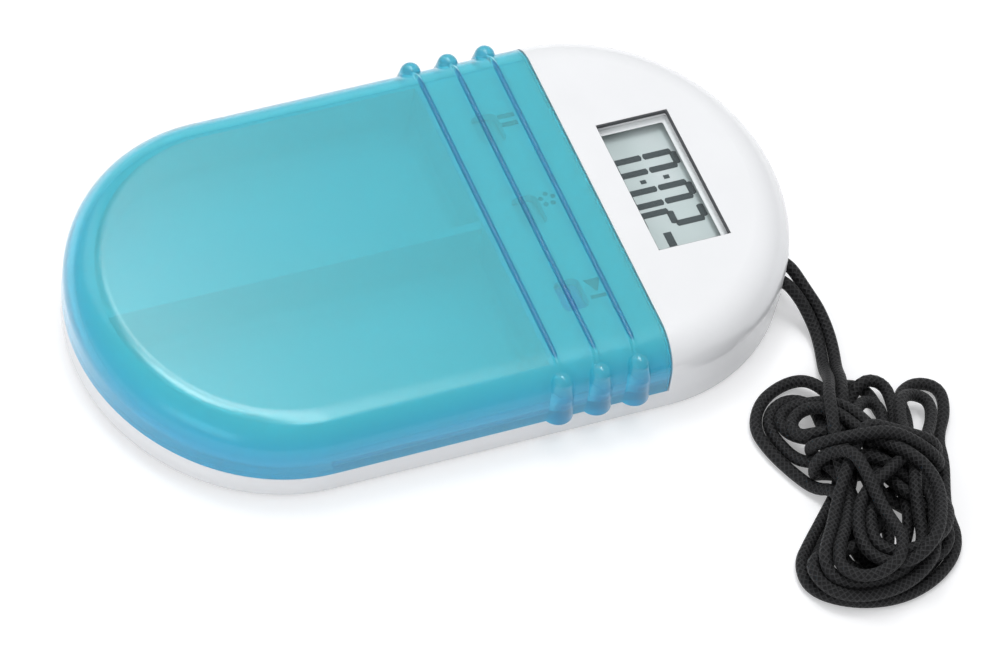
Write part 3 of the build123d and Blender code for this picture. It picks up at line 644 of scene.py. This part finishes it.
def frosted_cover():
    """Frosted translucent blue plastic with a polished outer skin, deeper blue down its sides."""
    m = Tree("frosted_blue_cover")
    m.set(Transmission_Weight=0.7, IOR=1.3, Specular_IOR_Level=0.1)
    m.set(Coat_Weight=0.9, Coat_Roughness=0.22, Coat_IOR=1.5)
    height = m.node("ShaderNodeSeparateXYZ")
    m.link(m.place, height.inputs[0])
    cloud = m.noise(45.0, 4.0)
    wander = m.maths("MULTIPLY", cloud, COVER_WANDER)
    level = m.maths("ADD", height.outputs["Z"], wander)
    stops = [(0.0, (0.08, 0.68, 0.96)), (0.55, (0.115, 0.70, 0.88)), (1.0, (0.145, 0.735, 0.81))]
    body = m.ramp(m.between(level, 0.0, 1.0, COVER_LOW, COVER_HIGH), stops)
    # Ribs and grips take a darker blue: partly their thicker plastic, partly painted shade of their
    # edges.
    ribs = m.between(height.outputs["Z"], 0.0, 1.0, RIB_LOW, RIB_HIGH)
    outward = m.maths("ABSOLUTE", height.outputs["X"])
    sides = m.between(outward, 0.0, 1.0, GRIP_IN, GRIP_OUT)
    grips = m.maths("MULTIPLY", sides, GRIP_DEPTH)
    mix = m.node("ShaderNodeMix", data_type="RGBA")
    m.link(m.maths("MAXIMUM", ribs, grips), mix.inputs["Factor"])
    m.link(body, mix.inputs["A"])
    mix.inputs["B"].default_value = THICK_AND_SHADED_BLUE
    m.colour(mix.outputs["Result"])
    m.rough(m.between(m.noise(120.0, 3.0), 0.165, 0.19))
    m.normal(m.bump(m.noise(50.0, 2.0), 0.1, 0.0001))
    return m.material


def clear_pane():
    """Clear plastic, nearly invisible apart from its shine."""
    m = Tree("clear_window")
    m.set(Alpha=0.035, IOR=1.49, Coat_Weight=0.2, Coat_Roughness=0.03)
    m.colour(m.ramp(m.noise(80.0, 3.0), [(0.3, (0.86, 0.9, 0.9)), (0.7, (0.93, 0.95, 0.95))]))
    m.rough(m.between(m.noise(500.0, 5.0), 0.04, 0.12))
    return m.material


def display_film():
    """The grey-green film of a reflective liquid-crystal display."""
    m = Tree("display_film")
    m.set(Coat_Weight=0.3, Coat_Roughness=0.1)
    stops = [(0.3, (0.50, 0.60, 0.60)), (0.5, (0.56, 0.66, 0.66)), (0.7, (0.62, 0.70, 0.71))]
    m.colour(m.ramp(m.noise(110.0, 2.0), stops))
    m.rough(m.between(m.noise(900.0, 4.0), 0.3, 0.45))
    m.normal(m.bump(m.noise(5000.0, 1.0), 0.15, 0.00001))
    return m.material


def circuit_green():
    """Green solder mask with paler lines of tracks under it."""
    m = Tree("circuit_board_green")
    m.set(Coat_Weight=0.5, Coat_Roughness=0.12)
    tracks = m.node("ShaderNodeTexBrick")
    m.link(m.place, tracks.inputs["Vector"])
    tracks.inputs["Scale"].default_value = 420.0
    tracks.inputs["Color1"].default_value = (0.012, 0.16, 0.05, 1.0)
    tracks.inputs["Color2"].default_value = (0.016, 0.2, 0.065, 1.0)
    tracks.inputs["Mortar"].default_value = (0.03, 0.27, 0.1, 1.0)
    tracks.inputs["Mortar Size"].default_value = 0.015
    m.colour(tracks.outputs["Color"])
    m.rough(m.between(m.noise(900.0, 4.0), 0.25, 0.4))
    m.normal(m.bump(tracks.outputs["Fac"], 0.3, 0.00003))
    return m.material


WHITE = (0.85, 0.855, 0.87)
white_shell = moulded(
    "white_shell", WHITE, 0.22, spread=0.015, Coat_Weight=0.3, Coat_Roughness=0.08
)
dress(white_shell, "base_shell", "upper_housing")
dress(frosted_cover(), "sliding_lid")
dress(clear_pane(), "display_lens")
dress(moulded("black_foam", (0.02, 0.02, 0.022), 0.85, grain=900.0, depth=0.0002), "display_gasket")
dress(display_film(), "front_polarizer", "rear_reflector")
glass = moulded(
    "display_glass", (0.42, 0.5, 0.5), 0.12, grain=4000.0, depth=0.000004, Coat_Weight=0.6
)
dress(glass, "lcd_glass")
dress(moulded("white_cap", (0.78, 0.79, 0.8), 0.3, spread=0.015), "battery_cap")
dress(moulded("pale_key_plastic", (0.66, 0.68, 0.7), 0.42), "hour_button", "minute_button")
dress(moulded("blue_key_plastic", (0.07, 0.24, 0.72), 0.38), "start_button")
dress(moulded("grey_rubber", (0.13, 0.13, 0.14), 0.75, grain=1600.0, depth=0.00005), "key_mat")
light_rubber = moulded("light_rubber", (0.24, 0.25, 0.26), 0.7, grain=1600.0, depth=0.00005)
dress(light_rubber, "contact_strips")
dress(moulded("display_holder_plastic", (0.7, 0.71, 0.7), 0.4), "display_holder")
dress(circuit_green(), "circuit_board")
resin = moulded("black_resin", (0.016, 0.016, 0.018), 0.5, grain=2000.0, depth=0.00004)
dress(resin, "controller_chip")
dress(moulded("chip_ceramic", (0.42, 0.33, 0.22), 0.45, grain=3000.0), "chip_passives")
dress(metal("tinned_metal", (0.72, 0.72, 0.7), 0.25), "crystal_can", "buzzer_springs")
contact = metal("plated_contact", (0.74, 0.72, 0.66), 0.22, stretch=(1.0, 8.0, 1.0))
dress(contact, "battery_contact_positive", "battery_contact_negative")
dress(metal("buzzer_brass", (0.78, 0.6, 0.28), 0.3), "piezo_plate")
dress(moulded("piezo_ceramic", (0.72, 0.7, 0.64), 0.35, grain=3500.0), "piezo_ceramic")
dress(metal("cell_steel", (0.66, 0.66, 0.65), 0.24, stretch=(1.0, 6.0, 1.0)), "coin_cell")
dress(metal("screw_steel", (0.5, 0.5, 0.51), 0.32), "housing_screws", "board_screws", "cord_pin")


# ---------------------------------------------------------------- display
# How much of a bar's half width its cut corners take.
BAR_CUT = 0.35


def flat_bars(name, bars, low, high, material):
    """Raised prints: each bar is a list of corners in mm, in order round it."""
    verts = []
    faces = []
    for corners in bars:
        first = len(verts)
        n = len(corners)
        verts += [Vector((x, y, low)) * MM for x, y in corners]
        verts += [Vector((x, y, high)) * MM for x, y in corners]
        faces.append(tuple(first + k for k in range(n))[::-1])
        faces.append(tuple(first + n + k for k in range(n)))
        for k in range(n):
            j = (k + 1) % n
            faces.append((first + k, first + j, first + n + j, first + n + k))
    return add_mesh(name, verts, faces, material)


def bar(ax, ay, bx, by, width):
    """A bar of a display digit with corners cut off at its ends."""
    a = Vector((ax, ay))
    b = Vector((bx, by))
    along = (b - a).normalized()
    across = Vector((-along.y, along.x)) * width / 2
    tip = along * width / 2
    cut = BAR_CUT
    corners = [
        a - tip * (1 - cut) - across * cut,
        a - tip * (1 - 2 * cut) - across,
        b + tip * (1 - 2 * cut) - across,
        b + tip * (1 - cut) - across * cut,
        b + tip * (1 - cut) + across * cut,
        b + tip * (1 - 2 * cut) + across,
        a - tip * (1 - 2 * cut) + across,
        a - tip * (1 - cut) + across * cut,
    ]
    return [(c.x, c.y) for c in corners]


# The digits 0:02 and a block, in mm. A bar runs between two corners of a grid of 1 by 2.
DIGIT_WIDTH = 2.35
DIGIT_HALF = 4.22
DIGIT_STROKE = 0.95
DIGIT_GAP = 0.42
DIGIT_FOOT = 27.6
SHOWN = (("0", -5.2), ("0", 0.25), ("2", 4.15))
COLON_X = -1.25
COLON_HEIGHTS = (30.4, 33.7)
COLON_SIZE = (0.6, 0.8)
END_BLOCK = (8.75, 30.1, 2.4, 1.1)
DIGIT_BARS = {
    "top": (0, 2, 1, 2),
    "middle": (0, 1, 1, 1),
    "bottom": (0, 0, 1, 0),
    "upper_left": (0, 1, 0, 2),
    "lower_left": (0, 0, 0, 1),
    "upper_right": (1, 1, 1, 2),
    "lower_right": (1, 0, 1, 1),
}
DIGITS = {
    "0": ("top", "bottom", "upper_left", "lower_left", "upper_right", "lower_right"),
    "2": ("top", "middle", "bottom", "lower_left", "upper_right"),
}


def digit(kind, x, y):
    bars = []
    for name in DIGITS[kind]:
        ax, ay, bx, by = DIGIT_BARS[name]
        dx, dy = (DIGIT_GAP, 0) if ay == by else (0, DIGIT_GAP)
        bars.append(
            bar(
                x + ax * DIGIT_WIDTH + dx,
                y + ay * DIGIT_HALF + dy,
                x + bx * DIGIT_WIDTH - dx,
                y + by * DIGIT_HALF - dy,
                DIGIT_STROKE,
            )
        )
    return bars


def block(x, y, dx, dy):
    left, right = x - dx / 2, x + dx / 2
    near, far = y - dy / 2, y + dy / 2
    return [(left, near), (right, near), (right, far), (left, far)]


def ring(name, inner, outer, low, high, material):
    """A low wall round a rectangle: inner and outer are lists of matching corners in mm."""
    count = len(inner)
    verts = [Vector((x, y, z)) * MM for z in (low, high) for x, y in inner + outer]
    faces = []
    for k in range(count):
        j = (k + 1) % count
        faces.append((k, j, 2 * count + j, 2 * count + k))
        faces.append((count + j, count + k, 3 * count + k, 3 * count + j))
        faces.append((2 * count + k, 2 * count + j, 3 * count + j, 3 * count + k))
        faces.append((j, k, count + k, count + j))
    return add_mesh(name, verts, faces, material)


def rounded_rectangle(x, y, length, width, radius, steps=5):
    corners = []
    for k in range(4):
        side_x = 1 if k in (0, 3) else -1
        side_y = 1 if k in (0, 1) else -1
        for i in range(steps + 1):
            turn = math.pi / 2 * (k + i / steps)
            corners.append(
                (
                    x + side_x * (length / 2 - radius) + radius * math.cos(turn),
                    y + side_y * (width / 2 - radius) + radius * math.sin(turn),
                )
            )
    return corners


# The window's opening, a dark ring of painted shadow at its top and a pale band of painted light
# under it, in mm.
WINDOW = (22.0, 10.2)
WINDOW_CORNER = 0.3
SHADOW_RING_WALL = 0.22
SHADOW_RING_HEIGHT = 0.5
SHADOW_RING_CORNER = 0.2
SHADOW_RING_CLEARANCE = 0.02
SHADOW_RING_BELOW_TOP = 0.03
LIGHT_BAND_LEFT = 1.0
LIGHT_BAND_RIGHT = 0.5
LIGHT_BAND_NEAR = 0.4
LIGHT_BAND_FAR = 0.85
LIGHT_BAND_CLEARANCE = 0.04
LIGHT_BAND_HEIGHTS = (0.005, 0.03)
DIGIT_HEIGHTS = (0.01, 0.05)


def make_display():
    """The digits, a dark ring of painted shadow round the window and a pale band of painted light
    on its pane.
    """
    lens_low, lens_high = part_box("display_lens")
    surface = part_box("front_polarizer")[1][2] / MM
    middle_x = (lens_low[0] + lens_high[0]) / 2 / MM
    middle_y = (lens_low[1] + lens_high[1]) / 2 / MM
    dark = moulded(
        "display_digit",
        (0.016, 0.036, 0.042),
        0.5,
        grain=4000.0,
        depth=0.00001,
        Specular_IOR_Level=0.2,
    )
    bars = [b for kind, x in SHOWN for b in digit(kind, x, DIGIT_FOOT)]
    bars += [block(COLON_X, y, *COLON_SIZE) for y in COLON_HEIGHTS]
    bars.append(block(*END_BLOCK))
    low, high = (surface + h for h in DIGIT_HEIGHTS)
    digits = flat_bars("display_digits", bars, low, high, dark)
    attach(digits, "body")
    length, width = WINDOW
    outer = rounded_rectangle(
        middle_x, middle_y, length - SHADOW_RING_CLEARANCE, width - SHADOW_RING_CLEARANCE, WINDOW_CORNER
    )
    inner = rounded_rectangle(
        middle_x + SHADOW_RING_WALL / 2 - SHADOW_RING_CLEARANCE,
        middle_y - SHADOW_RING_WALL / 2 + SHADOW_RING_CLEARANCE,
        length - SHADOW_RING_WALL - 3 * SHADOW_RING_CLEARANCE,
        width - SHADOW_RING_WALL - 3 * SHADOW_RING_CLEARANCE,
        SHADOW_RING_CORNER,
    )
    # The ring is painted shadow: a dark sheet where the opening's walls lie in shade, thicker on
    # the -X and +Y sides.
    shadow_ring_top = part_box("upper_housing")[1][2] / MM - SHADOW_RING_BELOW_TOP
    shadow_dark = moulded("window_painted_shadow_dark", (0.06, 0.062, 0.068), 0.6, grain=1800.0, depth=0.00003)
    shadow_ring = ring("window_painted_shadow_ring", inner, outer, shadow_ring_top - SHADOW_RING_HEIGHT, shadow_ring_top, shadow_dark)
    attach(shadow_ring, "body")
    # The band is painted light: a pale strip on the pane for the lit inner wall of the opening and
    # the reflection on the lens edge, wider on the -X and +Y sides.
    painted_light = moulded("window_painted_light_band", (0.84, 0.87, 0.88), 0.35, grain=3000.0, depth=0.00001)
    light_band_inner = rounded_rectangle(
        middle_x + (LIGHT_BAND_LEFT - LIGHT_BAND_RIGHT) / 2,
        middle_y + (LIGHT_BAND_NEAR - LIGHT_BAND_FAR) / 2,
        length - LIGHT_BAND_LEFT - LIGHT_BAND_RIGHT,
        width - LIGHT_BAND_NEAR - LIGHT_BAND_FAR,
        WINDOW_CORNER,
    )
    light_band_outer = rounded_rectangle(
        middle_x, middle_y, length - LIGHT_BAND_CLEARANCE, width - LIGHT_BAND_CLEARANCE, WINDOW_CORNER
    )
    low, high = (lens_high[2] / MM + h for h in LIGHT_BAND_HEIGHTS)
    light_band = ring("window_light_band", light_band_inner, light_band_outer, low, high, painted_light)
    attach(light_band, "body")


make_display()


# ---------------------------------------------------------------- key marks on the deck
# Places and sizes in mm: two bars, a ring of dots, an arrowhead with a bar.
DECK_TOP = 10.4
INK_HEIGHTS = (0.005, 0.03)
BAR_SIZE = (0.75, 2.3)
BAR_PLACES = ((-16.0, 16.6), (-14.6, 16.6))
DOT_RING = (-1.2, 16.6, 0.9)
DOT_TURNS = (0.6, 1.9, 3.1, 4.4, 5.7)
DOT_RADIUS = 0.36
ARROWHEAD = [(12.8, 15.9), (15.0, 17.1), (12.8, 18.3)]
ARROW_BAR = (15.7, 17.1, 0.6, 2.4)


def dot(x, y, radius, sides=16):
    turns = [2 * math.pi * k / sides for k in range(sides)]
    return [(x + radius * math.cos(t), y + radius * math.sin(t)) for t in turns]


def make_marks():
    """Small printed symbols beside the keys: two bars, a ring of dots, an arrowhead with a bar."""
    hour = [block(x, y, *BAR_SIZE) for x, y in BAR_PLACES]
    x, y, reach = DOT_RING
    minute = [dot(x + reach * math.cos(t), y + reach * math.sin(t), DOT_RADIUS) for t in DOT_TURNS]
    start = [ARROWHEAD, block(*ARROW_BAR)]
    ink = moulded("deck_mark_ink", (0.006, 0.03, 0.06), 0.5, grain=4000.0, depth=0.000006)
    low, high = (DECK_TOP + h for h in INK_HEIGHTS)
    marks = flat_bars("key_marks", hour + minute + start, low, high, ink)
    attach(marks, "body")


make_marks()


# ---------------------------------------------------------------- end
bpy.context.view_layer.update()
